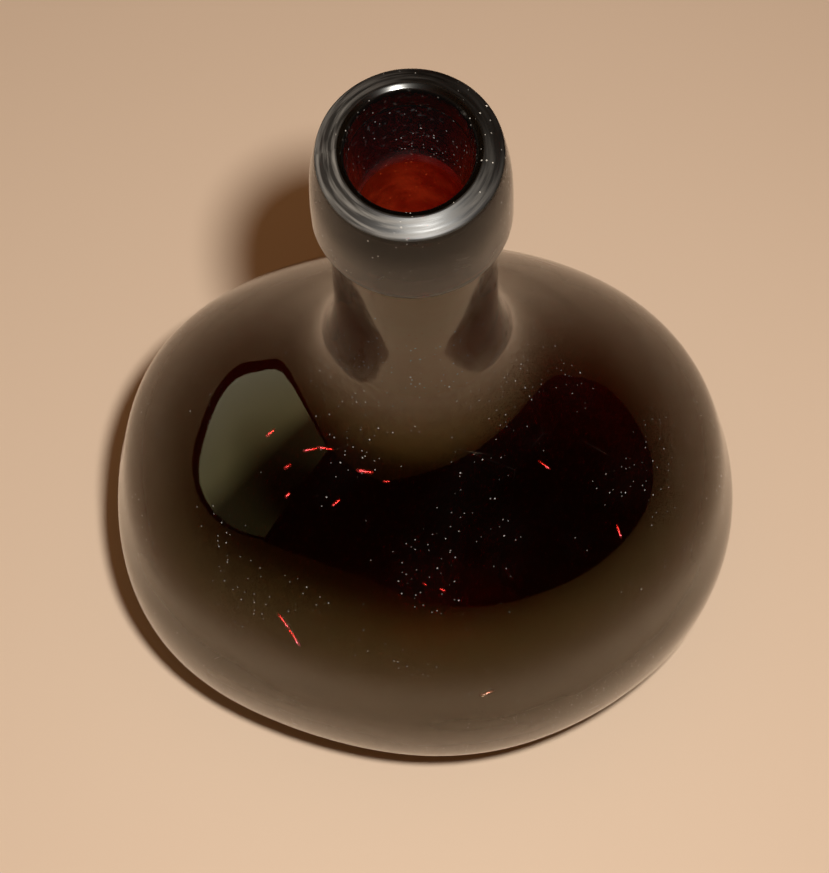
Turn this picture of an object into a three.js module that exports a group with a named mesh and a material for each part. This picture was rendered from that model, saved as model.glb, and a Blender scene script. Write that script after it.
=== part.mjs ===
// Free-blown glass flask: a hollow body of oval plan with a short neck, and a collar applied
// round the cut end of the neck. Millimetres, +Z up, origin under the middle of the base.
import * as THREE from 'three';

// Overall sizes
const HEIGHT = 204.2;
const GIRTH_HALF_WIDTH = 70;
const GIRTH_HEIGHT = 42.5;
const BASE_HALF_WIDTH = 54;
const NECK_RADIUS = 14.9;

// Plan: depth over width
const BODY_FLATNESS = 0.8;
const BASE_FLATNESS = 0.62;
const HEEL_SHARPNESS = 4;
const ROUND_FROM_HEIGHT = 106;
const ROUND_AT_HEIGHT = 150;

// How the blown plan runs out of true: swellings round it, their share of its radius, and the
// direction that one of them faces, in degrees from +X towards +Y
const OUT_OF_TRUE = [
  { swellings: 2, share: 0.007, facing: 14 },
  { swellings: 3, share: 0.015, facing: 36 },
  { swellings: 4, share: 0.01, facing: 43 },
  { swellings: 5, share: 0.007, facing: -7 },
  { swellings: 6, share: 0.005, facing: -27 },
];

// Lean of everything above the girth, in millimetres for each millimetre of height
const LEAN_LEFT = 0.022;
const LEAN_FORWARD = 0.03;

// The lip's plane slopes down to the front and the left, in millimetres for each millimetre
const LIP_SLOPE_Y = 0.072;
const LIP_SLOPE_X = 0.029;
const LIP_SLOPE_FROM_HEIGHT = 188;
const LIP_SLOPE_AT_HEIGHT = 202;

// Base
const FLANK_FULLNESS = 3.3;
const STANDING_RING_INNER = 40;
const STANDING_RING_OUTER = 51;
const HEEL_TOP_HEIGHT = 3;
const KICK_HEIGHT = 8;
const FLOOR_THICKNESS = 7;

// Neck end and mouth
const TUBE_RADIUS = 14;
const TUBE_TOP = 199;
const TUBE_CHAMFER = 0.8;
const MOUTH_RADIUS = 10.5;
const THROAT_RADIUS = 9.2;
const THROAT_HEIGHT = 188;

// Collar
const COLLAR_BOTTOM = 182.4;
const COLLAR_CHAMFER = 0.8;
const COLLAR_RADIUS = 17.3;
const COLLAR_WIDEST_HEIGHT = 185.6;
const LIP_OUTER_RADIUS = 15.6;
const LIP_EDGE_HEIGHT = 202.2;
const LIP_CREST_RADIUS = 12;

// Scar of the pontil rod
const SCAR_RADIUS = 10.5;
const SCAR_THICKNESS = 2;
const SCAR_EDGE = 0.9;

// Fused surfaces are held this far apart, so that each piece stays a solid of its own
const GAP = 0.3;

// Facets round the vertical axis, and steps between two points of a curve
const AROUND = 48;
const STEPS = 2;

const point = (radius, height) => new THREE.Vector2(radius, height);

// Half-width of the flank between the base and the girth
function flankHalfWidth(height) {
  const drop = (1 - height / GIRTH_HEIGHT) ** FLANK_FULLNESS;
  return GIRTH_HALF_WIDTH - (GIRTH_HALF_WIDTH - BASE_HALF_WIDTH) * drop;
}

// Underside of the pushed-up base
function kickHeight(radius) {
  return KICK_HEIGHT * (1 - (radius / STANDING_RING_INNER) ** 2);
}

// Depth over width at a height: narrow at the foot, oval in the body, round in the neck
function flatness(height) {
  const below = Math.max(0, 1 - height / GIRTH_HEIGHT);
  const foot = (BODY_FLATNESS - BASE_FLATNESS) * below ** HEEL_SHARPNESS;
  const roundness = THREE.MathUtils.smoothstep(height, ROUND_FROM_HEIGHT, ROUND_AT_HEIGHT);
  return THREE.MathUtils.lerp(BODY_FLATNESS, 1, roundness) - foot;
}

// How far a ring swells out at an angle: most in the body, and not at all in the neck
function swell(angle, height) {
  const fade = 1 - THREE.MathUtils.smoothstep(height, GIRTH_HEIGHT, ROUND_AT_HEIGHT);
  return OUT_OF_TRUE.reduce((size, { swellings, share, facing }) => {
    const turn = angle - THREE.MathUtils.degToRad(facing);
    return size + fade * share * Math.cos(swellings * turn);
  }, 1);
}

// A round form turned about the axis, pressed to its oval plan, leant over and sloped at the lip
function blown(profile) {
  const geometry = new THREE.LatheGeometry(profile, AROUND);
  geometry.rotateX(Math.PI / 2);
  const position = geometry.attributes.position;
  for (let i = 0; i < position.count; i += 1) {
    const x = position.getX(i);
    const y = position.getY(i);
    const z = position.getZ(i);
    const stretch = swell(Math.atan2(y, x), z);
    const rise = Math.max(0, z - GIRTH_HEIGHT);
    const slope = THREE.MathUtils.smoothstep(z, LIP_SLOPE_FROM_HEIGHT, LIP_SLOPE_AT_HEIGHT);
    position.setX(i, x * stretch - LEAN_LEFT * rise);
    position.setY(i, y * stretch * flatness(z) - LEAN_FORWARD * rise);
    position.setZ(i, z + slope * (x * LIP_SLOPE_X + y * LIP_SLOPE_Y));
  }
  geometry.computeVertexNormals();
  return geometry;
}

function darkGlass() {
  return new THREE.MeshStandardMaterial({ color: 0x2b0b08, roughness: 0.05, metalness: 0 });
}

function collarGlass() {
  return new THREE.MeshStandardMaterial({ color: 0x30110c, roughness: 0.12, metalness: 0 });
}

function scarGlass() {
  return new THREE.MeshStandardMaterial({ color: 0x3a1410, roughness: 0.5, metalness: 0 });
}

// The blown bubble: pushed-up base, oval body, shoulder and neck in one hollow piece
function blownBody() {
  const outline = new THREE.Path();
  outline.moveTo(0, KICK_HEIGHT);
  outline.splineThru([0.25, 0.5, 0.75, 1].map((share) => {
    const radius = share * STANDING_RING_INNER;
    return point(radius, kickHeight(radius));
  }));
  outline.lineTo(STANDING_RING_OUTER, 0);
  outline.quadraticCurveTo(
    BASE_HALF_WIDTH, 0, flankHalfWidth(HEEL_TOP_HEIGHT), HEEL_TOP_HEIGHT);
  outline.splineThru([
    point(flankHalfWidth(8), 8),
    point(flankHalfWidth(15), 15),
    point(flankHalfWidth(26), 26),
    point(GIRTH_HALF_WIDTH, GIRTH_HEIGHT),
    point(67.3, 57),
    point(63.4, 71.5),
    point(54.5, 85.7),
    point(43, 99),
    point(31.8, 110.5),
    point(22.8, 120.8),
    point(17.9, 131),
    point(15.3, 145.5),
    point(NECK_RADIUS, 162),
    point(14.7, 179),
    point(TUBE_RADIUS, COLLAR_BOTTOM),
  ]);
  outline.lineTo(TUBE_RADIUS, TUBE_TOP - TUBE_CHAMFER);
  outline.lineTo(TUBE_RADIUS - TUBE_CHAMFER, TUBE_TOP);
  outline.lineTo(MOUTH_RADIUS, TUBE_TOP);
  outline.splineThru([
    point(THROAT_RADIUS, THROAT_HEIGHT),
    point(9.9, 170),
    point(11.2, 150),
    point(13.9, 132),
    point(18.4, 121.5),
    point(27.4, 110.5),
    point(38.4, 99),
    point(49.8, 86),
    point(59, 72.5),
    point(63.3, 58),
    point(65.6, GIRTH_HEIGHT),
    point(65, 28),
    point(61.5, 17.5),
    point(53, 10.5),
    point(36, 9.5),
    point(17, 13.3),
    point(0, KICK_HEIGHT + FLOOR_THICKNESS),
  ]);
  const mesh = new THREE.Mesh(blown(outline.getPoints(STEPS)), darkGlass());
  mesh.name = 'blown_body';
  return mesh;
}

// A gather of glass laid round the neck and over its cut edge, then tooled to a thick lip
function appliedCollar() {
  const inner = TUBE_RADIUS + GAP;
  const seat = TUBE_TOP + GAP;
  const outline = new THREE.Path();
  outline.moveTo(inner, COLLAR_BOTTOM + COLLAR_CHAMFER);
  outline.lineTo(inner + 0.2, COLLAR_BOTTOM);
  outline.splineThru([
    point(COLLAR_RADIUS - 1.3, COLLAR_BOTTOM + 0.1),
    point(COLLAR_RADIUS - 0.4, COLLAR_BOTTOM + 1.2),
    point(COLLAR_RADIUS, COLLAR_WIDEST_HEIGHT),
    point(16.7, 194),
    point(LIP_OUTER_RADIUS, LIP_EDGE_HEIGHT - 0.4),
  ]);
  outline.splineThru([
    point(LIP_OUTER_RADIUS - 0.3, LIP_EDGE_HEIGHT + 0.2),
    point(LIP_CREST_RADIUS + 1, HEIGHT - 0.4),
    point(LIP_CREST_RADIUS, HEIGHT),
    point(LIP_CREST_RADIUS - 0.7, HEIGHT - 0.4),
    point(MOUTH_RADIUS + 0.2, LIP_EDGE_HEIGHT - 0.6),
  ]);
  outline.lineTo(MOUTH_RADIUS, seat);
  outline.lineTo(inner, seat);
  outline.lineTo(inner, COLLAR_BOTTOM + COLLAR_CHAMFER);
  const mesh = new THREE.Mesh(blown(outline.getPoints(STEPS)), collarGlass());
  mesh.name = 'applied_collar';
  return mesh;
}

// Glass left under the base where the pontil rod was knocked off
function pontilScar() {
  const outline = new THREE.Path();
  const top = (radius) => kickHeight(radius) - GAP;
  outline.moveTo(0, top(0) - SCAR_THICKNESS + 0.8);
  outline.splineThru([
    point(SCAR_RADIUS * 0.35, top(0) - SCAR_THICKNESS + 0.4),
    point(SCAR_RADIUS * 0.75, top(0) - SCAR_THICKNESS),
    point(SCAR_RADIUS, top(SCAR_RADIUS) - SCAR_EDGE),
    point(SCAR_RADIUS * 0.95, top(SCAR_RADIUS)),
  ]);
  outline.lineTo(SCAR_RADIUS * 0.5, top(SCAR_RADIUS * 0.5));
  outline.lineTo(0, top(0));
  const mesh = new THREE.Mesh(blown(outline.getPoints(STEPS)), scarGlass());
  mesh.name = 'pontil_scar';
  return mesh;
}

const flask = new THREE.Group();
flask.add(blownBody(), appliedCollar(), pontilScar());

export default flask;
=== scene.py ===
import math
import bpy
from mathutils import Matrix, Vector
from mathutils.geometry import interpolate_bezier


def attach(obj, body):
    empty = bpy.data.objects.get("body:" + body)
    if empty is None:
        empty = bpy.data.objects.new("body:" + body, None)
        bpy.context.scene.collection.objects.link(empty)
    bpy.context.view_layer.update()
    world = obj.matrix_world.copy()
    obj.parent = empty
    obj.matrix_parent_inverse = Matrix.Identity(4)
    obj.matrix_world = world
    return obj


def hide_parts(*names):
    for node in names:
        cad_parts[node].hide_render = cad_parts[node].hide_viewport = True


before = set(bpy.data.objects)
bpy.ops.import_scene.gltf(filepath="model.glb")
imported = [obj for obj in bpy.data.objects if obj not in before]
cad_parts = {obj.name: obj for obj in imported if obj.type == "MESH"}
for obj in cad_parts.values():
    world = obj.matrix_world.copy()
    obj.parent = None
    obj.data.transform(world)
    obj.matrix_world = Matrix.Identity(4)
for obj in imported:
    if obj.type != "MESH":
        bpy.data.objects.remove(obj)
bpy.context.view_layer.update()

# Camera
# Held above and in front of the flask, looking steeply down at it.
camera_place = (-0.00382, -0.20068, 0.53487)
turn_aside, look_down, roll = -0.379, 66.36, 0.247
camera_data = bpy.data.cameras.new("camera")
camera_data.lens = 97.14
camera = bpy.data.objects.new("camera", camera_data)
bpy.context.collection.objects.link(camera)
camera.matrix_world = (
    Matrix.Translation(camera_place)
    @ Matrix.Rotation(math.radians(turn_aside), 4, "Z")
    @ Matrix.Rotation(math.radians(90 - look_down), 4, "X")
    @ Matrix.Rotation(math.radians(roll), 4, "Z")
)
bpy.context.scene.camera = camera

# Table
# A plain pale table top, set askew under the flask. The dark glass mirrors its long edges.
table_middle = (-0.249, -0.435, -0.0003)
table_length, table_width, table_thickness = 3.4, 1.248, 0.03
table_turn = math.radians(55.4)
table_colour = (0.68, 0.505, 0.355, 1)
bpy.ops.object.select_all(action="DESELECT")
bpy.ops.mesh.primitive_plane_add(size=1, location=table_middle)
table = bpy.context.object
table.name = "table"
bpy.ops.object.mode_set(mode="EDIT")
bpy.ops.transform.resize(value=(table_length, table_width, 1))
bpy.ops.mesh.extrude_region_move(TRANSFORM_OT_translate={"value": (0, 0, -table_thickness)})
bpy.ops.mesh.select_all(action="SELECT")
bpy.ops.mesh.normals_make_consistent(inside=False)
bpy.ops.object.mode_set(mode="OBJECT")
table.rotation_euler.z = table_turn
bpy.ops.object.transform_apply(location=True, rotation=True, scale=True)
table_top = bpy.data.materials.new("table_top")
table_top.use_nodes = True
table_shader = table_top.node_tree.nodes["Principled BSDF"]
table_shader.inputs["Base Color"].default_value = table_colour
table_shader.inputs["Roughness"].default_value = 0.9
table_shader.inputs["Specular IOR Level"].default_value = 0.1
table.data.materials.append(table_top)

# Light
# A small lamp close to the lens, a dim room that is paler overhead, and a low grey screen beyond
# the table's left edge, which fades upwards and towards the front.


def new_node(tree, kind, **values):
    """Adds a shader node and sets its plain inputs, named with _ for a space."""
    node = tree.nodes.new(kind)
    for name, value in values.items():
        node.inputs[name.replace("_", " ")].default_value = value
    return node


def sum_node(tree, operation, first, second):
    """A sum of two numbers or outputs."""
    node = tree.nodes.new("ShaderNodeMath")
    node.operation = operation
    for socket, value in zip(node.inputs, (first, second)):
        if isinstance(value, (int, float)):
            socket.default_value = value
        else:
            tree.links.new(value, socket)
    return node.outputs[0]


def line_map(tree, value, low, high, start, end):
    """A value that runs from start to end while its input runs from low to high."""
    node = new_node(
        tree, "ShaderNodeMapRange", From_Min=low, From_Max=high, To_Min=start, To_Max=end
    )
    tree.links.new(value, node.inputs["Value"])
    return node.outputs["Result"]


def distance_along(tree, place, way):
    """How far a place lies along a way."""
    node = tree.nodes.new("ShaderNodeVectorMath")
    node.operation = "DOT_PRODUCT"
    node.inputs[1].default_value = way
    tree.links.new(place, node.inputs[0])
    return node.outputs["Value"]


bpy.context.scene.view_settings.view_transform = "Standard"
lamp_data = bpy.data.lights.new("lamp", "AREA")
lamp_data.shape = "DISK"
lamp_data.size = 0.03
lamp_data.energy = 2.95
lamp = bpy.data.objects.new("lamp", lamp_data)
bpy.context.collection.objects.link(lamp)
lamp.location = (0.034, -0.158, 0.535)
lamp.rotation_euler = (-lamp.location).to_track_quat("-Z", "Y").to_euler()

screen_length, screen_height = 3.8, 0.36
screen_way = (0.567, 0.823, 0)
screen_facing = (0.823, -0.567, 0)
screen_data = bpy.data.lights.new("screen", "AREA")
screen_data.shape = "RECTANGLE"
screen_data.size = screen_length
screen_data.size_y = screen_height
screen_data.energy = 4.8
screen_data.color = (0.93, 0.97, 0.9)
screen_data.use_nodes = True
screen_tree = screen_data.node_tree
screen_place = screen_tree.nodes.new("ShaderNodeNewGeometry").outputs["Position"]
screen_front = distance_along(screen_tree, screen_place, screen_way)
screen_front = line_map(screen_tree, screen_front, -1.15, -0.7, 0.15, 1)
screen_up = screen_tree.nodes.new("ShaderNodeSeparateXYZ")
screen_tree.links.new(screen_place, screen_up.inputs[0])
screen_top = line_map(screen_tree, screen_up.outputs["Z"], 0.08, 0.27, 1, 0.1)
screen_share = sum_node(screen_tree, "MULTIPLY", screen_front, screen_top)
screen_tree.links.new(screen_share, screen_tree.nodes["Emission"].inputs["Strength"])
screen = bpy.data.objects.new("screen", screen_data)
bpy.context.collection.objects.link(screen)
screen.location = (-1.509, -0.781, 0.17)
screen.rotation_euler = Vector(screen_facing).to_track_quat("-Z", "Y").to_euler()

room = bpy.data.worlds.new("room")
room.use_nodes = True
bpy.context.scene.world = room
room_tree = room.node_tree
room_tree.nodes.clear()
room_direction = room_tree.nodes.new("ShaderNodeTexCoord")
room_axes = room_tree.nodes.new("ShaderNodeSeparateXYZ")
room_tree.links.new(room_direction.outputs["Generated"], room_axes.inputs[0])
room_height = line_map(room_tree, room_axes.outputs["Z"], 0.25, 0.9, 0.02, 0.26)
room_back = new_node(room_tree, "ShaderNodeBackground", Color=(0.85, 0.43, 0.17, 1))
room_tree.links.new(room_height, room_back.inputs["Strength"])
room_out = room_tree.nodes.new("ShaderNodeOutputWorld")
room_tree.links.new(room_back.outputs[0], room_out.inputs["Surface"])

# Body
# One blown bubble of very dark red glass: a pushed-up base with a standing ring, an oval body,
# sloping shoulders and a short neck, with walls of 3 to 5 mm. Sizes are in millimetres.
MM = 0.001
glass_sides = 96
girth_height, girth_half_width = 42.5, 70
foot_inset, flank_fullness = 16, 3.3
body_flatness, neck_rounding = 0.8, 0.2
foot_narrowing, heel_sharpness = 0.18, 4
round_from, round_at = 106, 150
lean_left, lean_forward = 0.022, 0.03
lip_slope_x, lip_slope_y = 0.029, 0.072
slope_from, slope_at = 188, 202

# How the blown plan runs out of true: swellings round it, their share of its radius, and the
# direction that one of them faces, in degrees
swellings = ((2, 0.007, 14), (3, 0.015, 36), (4, 0.01, 43), (5, 0.007, -7), (6, 0.005, -27))


def smooth_line(stations, steps):
    """A smooth line through every station, in steps between each two of them."""
    last = len(stations) - 1
    line = []
    for i in range(last):
        before, start, end, after = [
            Vector((*stations[min(max(j, 0), last)], 0)) for j in (i - 1, i, i + 1, i + 2)
        ]
        part = interpolate_bezier(
            start, start + (end - before) / 6, end - (after - start) / 6, end, steps + 1
        )
        line += part[:-1]
    return line + [Vector((*stations[-1], 0))]


def smooth_share(value, low, high):
    """A share that eases from 0 to 1 while a value runs from low to high."""
    share = min(max((value - low) / (high - low), 0), 1)
    return share * share * (3 - 2 * share)


def depth_over_width(height):
    """Narrow at the foot, oval in the body and round in the neck."""
    foot = foot_narrowing * max(0, 1 - height / girth_height) ** heel_sharpness
    return body_flatness + neck_rounding * smooth_share(height, round_from, round_at) - foot


def axis_at(height):
    """The neck leans a little to the left and to the front."""
    rise = max(0, height - girth_height)
    return Vector((-lean_left * rise, -lean_forward * rise, height))


def turn_up(name, line, around):
    """Draws glass out along a line of radii and heights, as extruded and scaled rings."""
    bpy.ops.object.select_all(action="DESELECT")
    bpy.ops.mesh.primitive_circle_add(vertices=around, radius=line[0].x * MM)
    piece = bpy.context.object
    piece.name = name
    bpy.ops.object.mode_set(mode="EDIT")
    bpy.ops.mesh.select_mode(type="VERT")
    bpy.ops.transform.resize(value=(1, depth_over_width(line[0].y), 1))
    bpy.ops.transform.translate(value=axis_at(line[0].y) * MM)
    for last, this in zip(line, line[1:]):
        wider = this.x / last.x
        deeper = wider * depth_over_width(this.y) / depth_over_width(last.y)
        middle = axis_at(this.y)
        bpy.ops.mesh.extrude_region_move(
            TRANSFORM_OT_translate={"value": (middle - axis_at(last.y)) * MM}
        )
        bpy.ops.transform.resize(value=(wider, deeper, 1), center_override=middle * MM)
    bpy.ops.object.mode_set(mode="OBJECT")
    return piece


def select_rings(piece, rings, around):
    """Selects rings of a piece by number, and leaves it in edit mode."""
    bpy.ops.object.mode_set(mode="EDIT")
    bpy.ops.mesh.select_mode(type="VERT")
    bpy.ops.mesh.select_all(action="DESELECT")
    bpy.ops.object.mode_set(mode="OBJECT")
    for ring in rings:
        for vertex in piece.data.vertices[ring * around : (ring + 1) * around]:
            vertex.select = True
    bpy.ops.object.mode_set(mode="EDIT")


def work_by_hand(piece):
    """The blown plan runs out of true, most in the body, and the lip's plane isn't level."""
    for vertex in piece.data.vertices:
        height = vertex.co.z / MM
        squash = depth_over_width(height)
        middle = axis_at(height) * MM
        out = Vector((vertex.co.x - middle.x, (vertex.co.y - middle.y) / squash))
        angle = math.atan2(out.y, out.x)
        share = sum(s * math.cos(n * (angle - math.radians(a))) for n, s, a in swellings)
        slope = smooth_share(height, slope_from, slope_at)
        vertex.co.z += slope * (lip_slope_x * out.x + lip_slope_y * out.y)
        out *= 1 + share * (1 - smooth_share(height, girth_height, round_at))
        vertex.co.x = middle.x + out.x
        vertex.co.y = middle.y + out.y * squash


def finish_surface(piece, waves):
    """Smooths the rings to one surface, then adds the slow waves of hand-worked glass."""
    bpy.ops.object.mode_set(mode="EDIT")
    bpy.ops.mesh.select_all(action="SELECT")
    bpy.ops.mesh.normals_make_consistent(inside=False)
    bpy.ops.object.mode_set(mode="OBJECT")
    bpy.ops.object.modifier_add(type="SUBSURF")
    piece.modifiers["Subdivision"].levels = 1
    piece.modifiers["Subdivision"].render_levels = 1
    bpy.ops.object.modifier_apply(modifier="Subdivision")
    for group, size, depth in waves:
        wave = bpy.data.textures.new(f"{piece.name}_{group}_waves", "CLOUDS")
        wave.noise_scale = size * MM
        wave.noise_depth = 1
        bpy.ops.object.modifier_add(type="DISPLACE")
        displace = piece.modifiers["Displace"]
        displace.texture = wave
        displace.texture_coords = "LOCAL"
        displace.vertex_group = group
        displace.strength = depth * MM
        bpy.ops.object.modifier_apply(modifier="Displace")
    bpy.ops.object.transform_apply(location=True, rotation=True, scale=True)
    bpy.ops.object.shade_smooth()


def group_rings(piece, name, first, last, around):
    """Puts rings of a piece, from first up to last, in a group of their own."""
    group = piece.vertex_groups.new(name=name)
    group.add(list(range(first * around, last * around)), 1, "REPLACE")


def flank(height):
    """Half the width of the flank between the foot and the girth."""
    return girth_half_width - foot_inset * (1 - height / girth_height) ** flank_fullness


underside = [(2.5, 8), (10, 7.5), (20, 6), (30, 3.5), (37, 1.15), (40, 0.1)]
ring_and_heel = [(41, 0), (45.5, 0), (50.5, 0), (53, 0.25), (55.2, 1.2), (flank(3), 3)]
outside = [
    (flank(3), 3), (flank(8), 8), (flank(15), 15), (flank(26), 26),
    (girth_half_width, girth_height), (67.3, 57), (63.4, 71.5), (54.5, 85.7), (43, 99),
    (31.8, 110.5), (22.8, 120.8), (17.9, 131), (15.3, 145.5), (14.9, 162), (14.7, 178),
]
cut_end = [
    (14.62, 181), (14.54, 182.4), (14.36, 183.4), (14.08, 184.5), (14, 187), (14, 192),
    (14, 198.2), (13.9, 198.95), (13.6, 199.15), (12.5, 199.15), (11.2, 199.15), (10.65, 199.15),
    (10.52, 199.03),
]
inside = [
    (10.5, 198.6), (9.2, 188), (9.9, 170), (11.2, 150), (13.9, 132), (18.4, 121.5), (27.4, 110.5),
    (38.4, 99), (49.8, 86), (59, 72.5), (63.3, 58), (65.6, 42.5), (65, 28), (61.5, 17.5),
    (53, 10.5), (36, 9.5), (17, 13.3), (2.5, 14.95),
]
body_line = smooth_line(underside, 2)
body_line += smooth_line(ring_and_heel, 1)[:-1]
body_line += smooth_line(outside, 3)
first_of_end = len(body_line)
body_line += smooth_line(cut_end, 1)
first_of_inside = len(body_line)
body_line += smooth_line(inside, 3)
body = turn_up("flask_body", body_line, glass_sides)
for pole in (0, len(body_line) - 1):
    select_rings(body, [pole], glass_sides)
    bpy.ops.mesh.edge_face_add()
    bpy.ops.object.mode_set(mode="OBJECT")

# The waves run from the standing ring up, and leave the cut end still
standing_ring = 12
still_rings = 4
group_rings(body, "outer", standing_ring, first_of_end - still_rings, glass_sides)
group_rings(body, "inner", first_of_inside + still_rings, len(body_line), glass_sides)
work_by_hand(body)
finish_surface(
    body, (("outer", 26, 0.16), ("outer", 8, 0.01), ("inner", 15, 0.35), ("inner", 6, 0.08))
)

# Marks the inside wall for its finish
inner_group = body.vertex_groups["inner"].index
inside_wall = body.data.attributes.new("inside_wall", "FLOAT", "POINT")
for vertex, mark in zip(body.data.vertices, inside_wall.data):
    mark.value = sum(part.weight for part in vertex.groups if part.group == inner_group)

# Seeds
# Air bubbles in the body's wall, drawn out to flat slivers as the glass was blown. They are
# hollows of the same piece of glass. Each has a place, a length way, a flat way, its width,
# thickness and length, and how silvery its wall is.
seeds = (
    ((-30.6, -13.0, 108.2), (0.81, 0.44, 0.39), (-0.21, -0.40, 0.89), (0.9, 0.11, 3.3), 1),
    ((-27.3, -19.4, 106.5), (0.84, 0.41, 0.35), (-0.14, -0.46, 0.88), (0.9, 0.11, 2.4), 1),
    ((-27.5, -23.8, 102.4), (0.69, 0.59, 0.41), (-0.11, -0.47, 0.87), (0.8, 0.10, 1.9), 1),
    ((-17.8, -26.4, 105.1), (0.75, 0.54, 0.38), (-0.07, -0.50, 0.86), (0.8, 0.10, 2.8), 1),
    ((-22.5, -18.0, 111.8), (0.95, 0.18, 0.26), (-0.15, -0.49, 0.86), (0.8, 0.10, 4.2), 1),
    ((-19.6, -18.5, 113.6), (0.99, -0.09, 0.11), (-0.14, -0.51, 0.85), (0.8, 0.10, 4.0), 1),
    ((-12.1, -23.0, 112.8), (0.99, -0.10, 0.01), (-0.06, -0.54, 0.84), (1.1, 0.13, 4.0), 1),
    ((-8.0, -24.6, 111.6), (1.00, 0.04, 0.06), (-0.03, -0.55, 0.83), (0.6, 0.07, 1.7), 1),
    ((22.6, -19.5, 107.4), (0.80, -0.44, -0.40), (0.18, -0.46, 0.87), (0.5, 0.06, 4.0), 1),
    ((38.6, -26.1, 88.4), (0.41, -0.77, -0.49), (0.20, -0.45, 0.87), (0.7, 0.08, 3.7), 1),
    ((-0.6, -38.9, 92.6), (0.80, -0.50, -0.32), (0.02, -0.52, 0.86), (0.6, 0.07, 1.3), 1),
    ((3.0, -39.7, 91.4), (0.84, -0.45, -0.30), (0.04, -0.52, 0.86), (0.8, 0.10, 1.7), 1),
    ((-29.2, -41.4, 77.6), (0.50, -0.74, -0.44), (-0.09, -0.55, 0.83), (1.0, 0.12, 4.8), 1),
    ((-27.2, -43.7, 74.5), (0.42, -0.76, -0.49), (-0.09, -0.58, 0.81), (1.0, 0.12, 5.6), 1),
    ((12.5, -52.3, 63.0), (0.86, 0.42, 0.29), (0.09, -0.68, 0.73), (1.3, 0.20, 3.6), 0.7),
)

# One seed is a short round bar of unit size, drawn to a point at both ends in three steps, each
# with its length and how much narrower it gets
seed_sides = 14
seed_points = ((0.1, 0.8), (0.06, 0.6), (0.03, 0.4))
bpy.ops.object.select_all(action="DESELECT")
bpy.ops.mesh.primitive_cylinder_add(
    vertices=seed_sides, radius=0.5, depth=0.6, end_fill_type="TRIFAN", location=(0, 0, 0)
)
seed = bpy.context.object
for end in (1, -1):
    for out, narrower in seed_points:
        bpy.ops.object.mode_set(mode="EDIT")
        bpy.ops.mesh.select_all(action="DESELECT")
        bpy.ops.mesh.select_mode(type="FACE")
        bpy.ops.object.mode_set(mode="OBJECT")
        for face in seed.data.polygons:
            face.select = face.normal.z * end > 0.9
        bpy.ops.object.mode_set(mode="EDIT")
        bpy.ops.mesh.extrude_region_move(TRANSFORM_OT_translate={"value": (0, 0, out * end)})
        bpy.ops.transform.resize(value=(narrower, narrower, 1))
bpy.ops.mesh.select_all(action="SELECT")
bpy.ops.mesh.normals_make_consistent(inside=True)
bpy.ops.object.mode_set(mode="OBJECT")
bpy.ops.object.shade_smooth()
hollows = []
for place, along, flat, (width, thickness, length), silvery in seeds:
    copy = seed.copy()
    copy.data = seed.data.copy()
    bpy.context.collection.objects.link(copy)
    along = Vector(along).normalized()
    flat = Vector(flat)
    flat = (flat - flat.dot(along) * along).normalized()
    turn = Matrix((flat.cross(along), flat, along)).transposed().to_4x4()
    size = Matrix.Diagonal((width * MM, thickness * MM, length * MM, 1))
    copy.data.transform(Matrix.Translation(Vector(place) * MM) @ turn @ size)
    mark = copy.data.attributes.new("seed", "FLOAT", "POINT")
    mark.data.foreach_set("value", [silvery] * len(mark.data))
    hollows.append(copy)
bpy.data.objects.remove(seed)
bpy.ops.object.select_all(action="DESELECT")
for hollow in hollows:
    hollow.select_set(True)
body.select_set(True)
bpy.context.view_layer.objects.active = body
bpy.ops.object.join()

# The glass: how it bends light, the light that it lets through, the tint of what it mirrors, and
# how dense it is. Its dust, and where the mouth lies, in metres.
glass_bend = 1.5
let_through = (0.762, 0.231, 0, 1)
body_shine, body_density = (0.95, 0.73, 0.18), 1300
dust_colour = (0.95, 0.93, 0.9, 1)
to_neck_axis = (0.0035, 0.0048, 0)
mouth_reach = 0.0112


def dust_on(tree, place, height, in_mouth):
    """Grains of dust, 1 on a grain and 0 beside it. Most lie in drifts and in the mouth."""
    grains = new_node(tree, "ShaderNodeTexVoronoi", Scale=1150.0)
    drifts = new_node(tree, "ShaderNodeTexNoise", Scale=45.0, Detail=3.0)
    pick = tree.nodes.new("ShaderNodeSeparateColor")
    for node in (grains, drifts):
        tree.links.new(place, node.inputs["Vector"])
    tree.links.new(grains.outputs["Color"], pick.inputs[0])
    share = line_map(tree, height, 0.13, 0.19, 0.7, 1.1)
    drift = line_map(tree, drifts.outputs["Fac"], 0.45, 0.68, 0.01, 1)
    share = sum_node(tree, "MULTIPLY", share, drift)
    share = sum_node(tree, "MAXIMUM", share, sum_node(tree, "MULTIPLY", in_mouth, 0.4))
    kept = sum_node(tree, "LESS_THAN", pick.outputs[0], share)
    reach = line_map(tree, pick.outputs[1], 0, 1, 0.07, 0.19)
    near = sum_node(tree, "LESS_THAN", grains.outputs["Distance"], reach)
    return sum_node(tree, "MULTIPLY", near, kept), pick.outputs[2], drift


def scratches_on(tree, place):
    """Hair-fine scratches: short lengths of the borders between large cells."""
    cells = new_node(tree, "ShaderNodeTexVoronoi", Scale=48.0)
    cells.feature = "DISTANCE_TO_EDGE"
    parts = new_node(tree, "ShaderNodeTexNoise", Scale=130.0, Detail=1.0)
    for node in (cells, parts):
        tree.links.new(place, node.inputs["Vector"])
    line = sum_node(tree, "LESS_THAN", cells.outputs["Distance"], 0.0022)
    return sum_node(tree, "MULTIPLY", line, line_map(tree, parts.outputs["Fac"], 0.6, 0.7, 0, 1))


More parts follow.
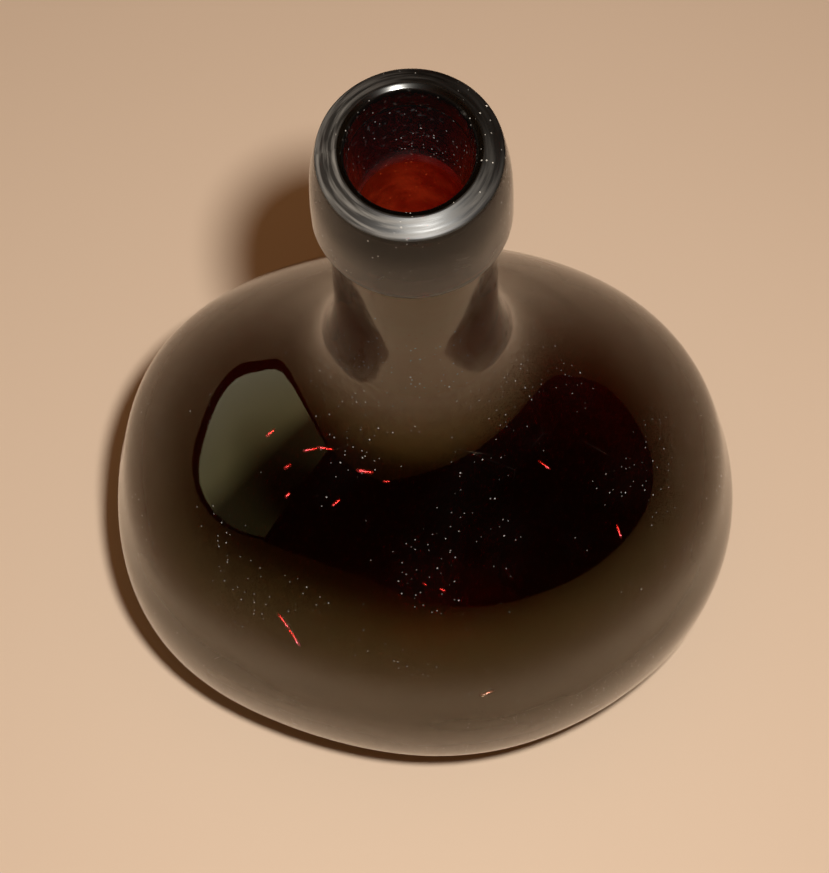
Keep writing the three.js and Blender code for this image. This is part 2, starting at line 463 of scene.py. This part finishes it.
def dark_glass(name, shine, density):
    """Glass that takes nearly all green and blue in its thickness, with dust on its surface."""
    glass = bpy.data.materials.new(name)
    glass.use_nodes = True
    tree = glass.node_tree
    shader = tree.nodes["Principled BSDF"]
    shader.inputs["Base Color"].default_value = dust_colour
    shader.inputs["IOR"].default_value = glass_bend
    shader.inputs["Specular Tint"].default_value = (*shine, 1)
    absorption = new_node(tree, "ShaderNodeVolumeAbsorption", Color=let_through, Density=density)
    tree.links.new(absorption.outputs[0], tree.nodes["Material Output"].inputs["Volume"])
    place = tree.nodes.new("ShaderNodeTexCoord").outputs["Object"]
    axes = tree.nodes.new("ShaderNodeSeparateXYZ")
    tree.links.new(place, axes.inputs[0])
    height = axes.outputs["Z"]
    about_axis = new_node(tree, "ShaderNodeMapping", Location=to_neck_axis, Scale=(1, 1, 0))
    tree.links.new(place, about_axis.inputs["Vector"])
    way_out = tree.nodes.new("ShaderNodeVectorMath")
    way_out.operation = "LENGTH"
    tree.links.new(about_axis.outputs[0], way_out.inputs[0])
    out = way_out.outputs["Value"]
    in_mouth = sum_node(tree, "LESS_THAN", out, mouth_reach)
    dust, paleness, drift = dust_on(tree, place, height, in_mouth)
    scratches = scratches_on(tree, place)
    film = new_node(tree, "ShaderNodeTexNoise", Scale=70.0, Detail=4.0)
    tree.links.new(place, film.inputs["Vector"])

    # A pale bloom lies in fine streaks inside the mouth
    streaks = new_node(tree, "ShaderNodeTexNoise", Scale=900.0, Detail=3.0)
    tree.links.new(place, streaks.inputs["Vector"])
    bloom = line_map(tree, streaks.outputs["Fac"], 0.62, 0.76, 0.002, 0.035)
    bloom = sum_node(tree, "MULTIPLY", bloom, line_map(tree, height, 0.11, 0.14, 0, 1))
    bloom = sum_node(tree, "MULTIPLY", bloom, in_mouth)

    # What is seen on the surface, and how rough it is
    seen = sum_node(tree, "MULTIPLY", dust, line_map(tree, paleness, 0, 1, 0.1, 0.45))
    seen = sum_node(tree, "ADD", seen, sum_node(tree, "MULTIPLY", scratches, 0.008))
    seen = sum_node(tree, "ADD", seen, sum_node(tree, "MULTIPLY", drift, 0.0008))
    seen = sum_node(tree, "ADD", seen, bloom)
    rough = sum_node(tree, "MULTIPLY", film.outputs["Fac"], 0.05)
    for mark, least in ((dust, 0.8), (scratches, 0.3)):
        rough = sum_node(tree, "MAXIMUM", rough, sum_node(tree, "MULTIPLY", mark, least))
    return glass, tree, shader, place, (about_axis.outputs[0], out, height), seen, rough


def colour_over(tree, share, under, over):
    """A colour laid by a share over another colour or output."""
    mix = tree.nodes.new("ShaderNodeMix")
    mix.data_type = "RGBA"
    mix.inputs["B"].default_value = over
    tree.links.new(share, mix.inputs["Factor"])
    if isinstance(under, tuple):
        mix.inputs["A"].default_value = under
    else:
        tree.links.new(under, mix.inputs["A"])
    return mix.outputs["Result"]


def show_dust(tree, shader, seen, rough):
    """Lets less light through where dust and marks are seen, and roughens the surface."""
    tree.links.new(sum_node(tree, "SUBTRACT", 1, seen), shader.inputs["Transmission Weight"])
    tree.links.new(rough, shader.inputs["Roughness"])


body_glass, body_tree, body_shader, body_place, body_polar, body_seen, body_rough = dark_glass(
    "body_glass", body_shine, body_density
)
seed_wall = body_tree.nodes.new("ShaderNodeAttribute")
seed_wall.attribute_name = "seed"
inner_wall = body_tree.nodes.new("ShaderNodeAttribute")
inner_wall.attribute_name = "inside_wall"
body_height = body_polar[2]

# A dull red layer on the inside of the neck is painted light: a red glow that stands in for the
# lit table seen red through the neck wall
in_neck = line_map(body_tree, body_height, 0.12, 0.135, 0, 1)
in_neck = sum_node(body_tree, "MULTIPLY", in_neck, inner_wall.outputs["Fac"])
in_bore = line_map(body_tree, body_height, 0.186, 0.192, 1, 0)
in_bore = sum_node(body_tree, "MULTIPLY", in_bore, in_neck)
painted_bore_glow = new_node(body_tree, "ShaderNodeTexNoise", Scale=260.0, Detail=4.0)
body_tree.links.new(body_place, painted_bore_glow.inputs["Vector"])
painted_bore_glow = line_map(body_tree, painted_bore_glow.outputs["Fac"], 0.38, 0.66, 0.05, 0.15)
painted_bore_glow = sum_node(body_tree, "MULTIPLY", painted_bore_glow, in_neck)
glow_ends = line_map(body_tree, body_height, 0.174, 0.19, 1, 0)
painted_bore_glow = sum_node(body_tree, "MULTIPLY", painted_bore_glow, glow_ends)
body_seen = sum_node(body_tree, "ADD", body_seen, painted_bore_glow)

# The seeds' walls are silvery, and crimson where they are most so
bore_glow_red = (1, 0.09, 0.02, 1)
seed_crimson = (1, 0.42, 0.85, 1)
silver = sum_node(body_tree, "MULTIPLY", seed_wall.outputs["Fac"], 0.9)
body_tree.links.new(silver, body_shader.inputs["Metallic"])
full_silver = sum_node(body_tree, "GREATER_THAN", seed_wall.outputs["Fac"], 0.9)
# The wall's colour: the painted red glow in the bore, then the seeds' crimson
wall_colour = colour_over(body_tree, in_bore, dust_colour, bore_glow_red)
wall_colour = colour_over(body_tree, full_silver, wall_colour, seed_crimson)
body_tree.links.new(wall_colour, body_shader.inputs["Base Color"])
for wall, least in ((seed_wall, 0.15), (inner_wall, 0.3)):
    wall_rough = sum_node(body_tree, "MULTIPLY", wall.outputs["Fac"], least)
    body_rough = sum_node(body_tree, "MAXIMUM", body_rough, wall_rough)
show_dust(body_tree, body_shader, body_seen, body_rough)
body.data.materials.append(body_glass)
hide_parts("blown_body")
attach(body, "root")

# Collar
# A second gather of glass laid round the neck and over its cut end, then tooled to a thick lip
# with a sloping face. That face is worn to a fine satin, with marks that run round it.
collar_outline = [
    (14.6, 182.5), (14.68, 182.42), (14.95, 182.36), (15.7, 182.4), (16.6, 182.55),
    (17.06, 182.76), (17.25, 183), (17.29, 183.35), (17.29, 184.4), (17.22, 188.5),
    (16.96, 194), (16.42, 198), (15.88, 200.9), (15.68, 201.75), (15.56, 202.1), (15.35, 202.32),
    (14.9, 202.53), (14, 202.96), (13, 203.43), (12.35, 203.7), (12.08, 203.75), (11.86, 203.68),
    (11.5, 203.52), (11.12, 203.34), (10.9, 203.08), (10.78, 202.5), (10.62, 201.2), (10.52, 200),
    (10.5, 199.5), (10.54, 199.27), (10.7, 199.2), (12, 199.2), (13.6, 199.2), (14.1, 199.05),
    (14.25, 198.3), (14.25, 191), (14.25, 187), (14.3, 184.8), (14.44, 183.7), (14.56, 182.9),
]
collar_line = smooth_line(collar_outline, 2)
outer_rings = (3, 34)
collar = turn_up("collar", collar_line, glass_sides)
select_rings(collar, [0, len(collar_line) - 1], glass_sides)
bpy.ops.mesh.bridge_edge_loops()
bpy.ops.object.mode_set(mode="OBJECT")
group_rings(collar, "outer", *outer_rings, glass_sides)
work_by_hand(collar)
finish_surface(collar, (("outer", 9, 0.12),))

collar_shine, collar_density = (0.53, 0.51, 0.46), 3000
# The pale colour that dust and the lip's scuffs show; on the left and near side of the lip it is
# painted light
collar_dust_and_lit_side = (0.95, 0.84, 0.7, 1)
crest_height = 0.2031
worn_glass, worn_tree, worn_shader, worn_place, worn_polar, dust_wear_and_painted_light, worn_rough = dark_glass(
    "collar_glass", collar_shine, collar_density
)
worn_shader.inputs["Base Color"].default_value = collar_dust_and_lit_side
worn_shader.inputs["Coat Roughness"].default_value = 0.42

# The sloping face of the lip, from its outer edge in to the crest
lip_height = distance_along(worn_tree, worn_place, (-lip_slope_x, -lip_slope_y, 1))
on_lip = line_map(worn_tree, lip_height, 0.20235, 0.2027, 0, 1)
outside_crest = line_map(worn_tree, worn_polar[1], 0.0119, 0.0124, 0, 1)
on_lip = sum_node(worn_tree, "MULTIPLY", on_lip, outside_crest)

# Marks of wear that run round the lip
turn_round = worn_tree.nodes.new("ShaderNodeTexGradient")
turn_round.gradient_type = "RADIAL"
worn_tree.links.new(worn_polar[0], turn_round.inputs[0])
ring_place = worn_tree.nodes.new("ShaderNodeCombineXYZ")
across = sum_node(worn_tree, "MULTIPLY", worn_polar[1], 1500)
round_lip = sum_node(worn_tree, "MULTIPLY", turn_round.outputs["Fac"], 9)
worn_tree.links.new(across, ring_place.inputs[0])
worn_tree.links.new(round_lip, ring_place.inputs[1])
marks = new_node(worn_tree, "ShaderNodeTexNoise", Scale=1.0, Detail=5.0)
worn_tree.links.new(ring_place.outputs[0], marks.inputs["Vector"])
marks = marks.outputs["Fac"]
wear = line_map(worn_tree, marks, 0.35, 0.65, 0.32, 0.5)
wear = sum_node(worn_tree, "MULTIPLY", wear, on_lip)
worn_rough = sum_node(worn_tree, "MAXIMUM", worn_rough, wear)
crest = sum_node(worn_tree, "GREATER_THAN", lip_height, crest_height)
crest_rough = sum_node(worn_tree, "MULTIPLY", crest, 0.16)
worn_rough = sum_node(worn_tree, "MAXIMUM", worn_rough, crest_rough)
satin = line_map(worn_tree, marks, 0.38, 0.66, 0.4, 0.1)
satin = sum_node(worn_tree, "MULTIPLY", satin, on_lip)
worn_tree.links.new(satin, worn_shader.inputs["Coat Weight"])

# Scuffs on the lip, laid much thicker on its left and near side as painted light: that side is
# made paler, as if lit more
scuffs_and_painted_light = line_map(worn_tree, marks, 0.42, 0.68, 0.004, 0.04)
painted_lit_side = distance_along(worn_tree, worn_polar[0], (-0.8, -0.6, 0))
painted_lit_side = line_map(worn_tree, painted_lit_side, -0.012, 0.012, 0.2, 3.3)
scuffs_and_painted_light = sum_node(worn_tree, "MULTIPLY", scuffs_and_painted_light, painted_lit_side)
scuffs_and_painted_light = sum_node(worn_tree, "MULTIPLY", scuffs_and_painted_light, on_lip)
dust_wear_and_painted_light = sum_node(worn_tree, "ADD", dust_wear_and_painted_light, scuffs_and_painted_light)
show_dust(worn_tree, worn_shader, dust_wear_and_painted_light, worn_rough)
mark_depth = sum_node(worn_tree, "MULTIPLY", marks, on_lip)
mark_bump = new_node(worn_tree, "ShaderNodeBump", Strength=0.5, Distance=0.00006)
worn_tree.links.new(mark_depth, mark_bump.inputs["Height"])
worn_tree.links.new(mark_bump.outputs[0], worn_shader.inputs["Normal"])
collar.data.materials.append(worn_glass)
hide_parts("applied_collar")
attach(collar, "root")

# Pontil scar
# The glass left under the base where the pontil rod was knocked off: a low, jagged disc with a
# broken, glittering face, fused to the pushed-up base.
scar_outline = [
    (1.2, 7.68), (5, 7.55), (8.5, 7.3), (10, 7.15), (10.5, 6.9), (10.4, 6.55), (9.5, 6), (8, 5.85),
    (6, 6.05), (4, 6.3), (2.4, 6.25), (1.2, 6.35),
]
scar_sides = 44
first_broken_ring = 8
scar_line = smooth_line(scar_outline, 2)
scar = turn_up("pontil_scar_glass", scar_line, scar_sides)
for pole in (0, len(scar_line) - 1):
    select_rings(scar, [pole], scar_sides)
    bpy.ops.mesh.edge_face_add()
    bpy.ops.object.mode_set(mode="OBJECT")
group_rings(scar, "broken", first_broken_ring, len(scar_line), scar_sides)
finish_surface(scar, (("broken", 3.4, 1.3), ("broken", 1.1, 0.5)))
bpy.ops.object.shade_flat()
scar_shine = (0.85, 0.73, 0.3)
scar_glass, scar_tree, scar_shader, scar_place, _, scar_seen, scar_rough = dark_glass(
    "scar_glass", scar_shine, body_density
)
break_grain = new_node(scar_tree, "ShaderNodeTexNoise", Scale=900.0, Detail=4.0)
scar_tree.links.new(scar_place, break_grain.inputs["Vector"])
broken = line_map(scar_tree, break_grain.outputs["Fac"], 0.3, 0.7, 0.25, 0.6)
scar_rough = sum_node(scar_tree, "MAXIMUM", scar_rough, broken)
show_dust(scar_tree, scar_shader, scar_seen, scar_rough)
break_bump = new_node(scar_tree, "ShaderNodeBump", Strength=0.5, Distance=0.0002)
scar_tree.links.new(break_grain.outputs["Fac"], break_bump.inputs["Height"])
scar_tree.links.new(break_bump.outputs[0], scar_shader.inputs["Normal"])
scar.data.materials.append(scar_glass)
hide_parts("pontil_scar")
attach(scar, "root")
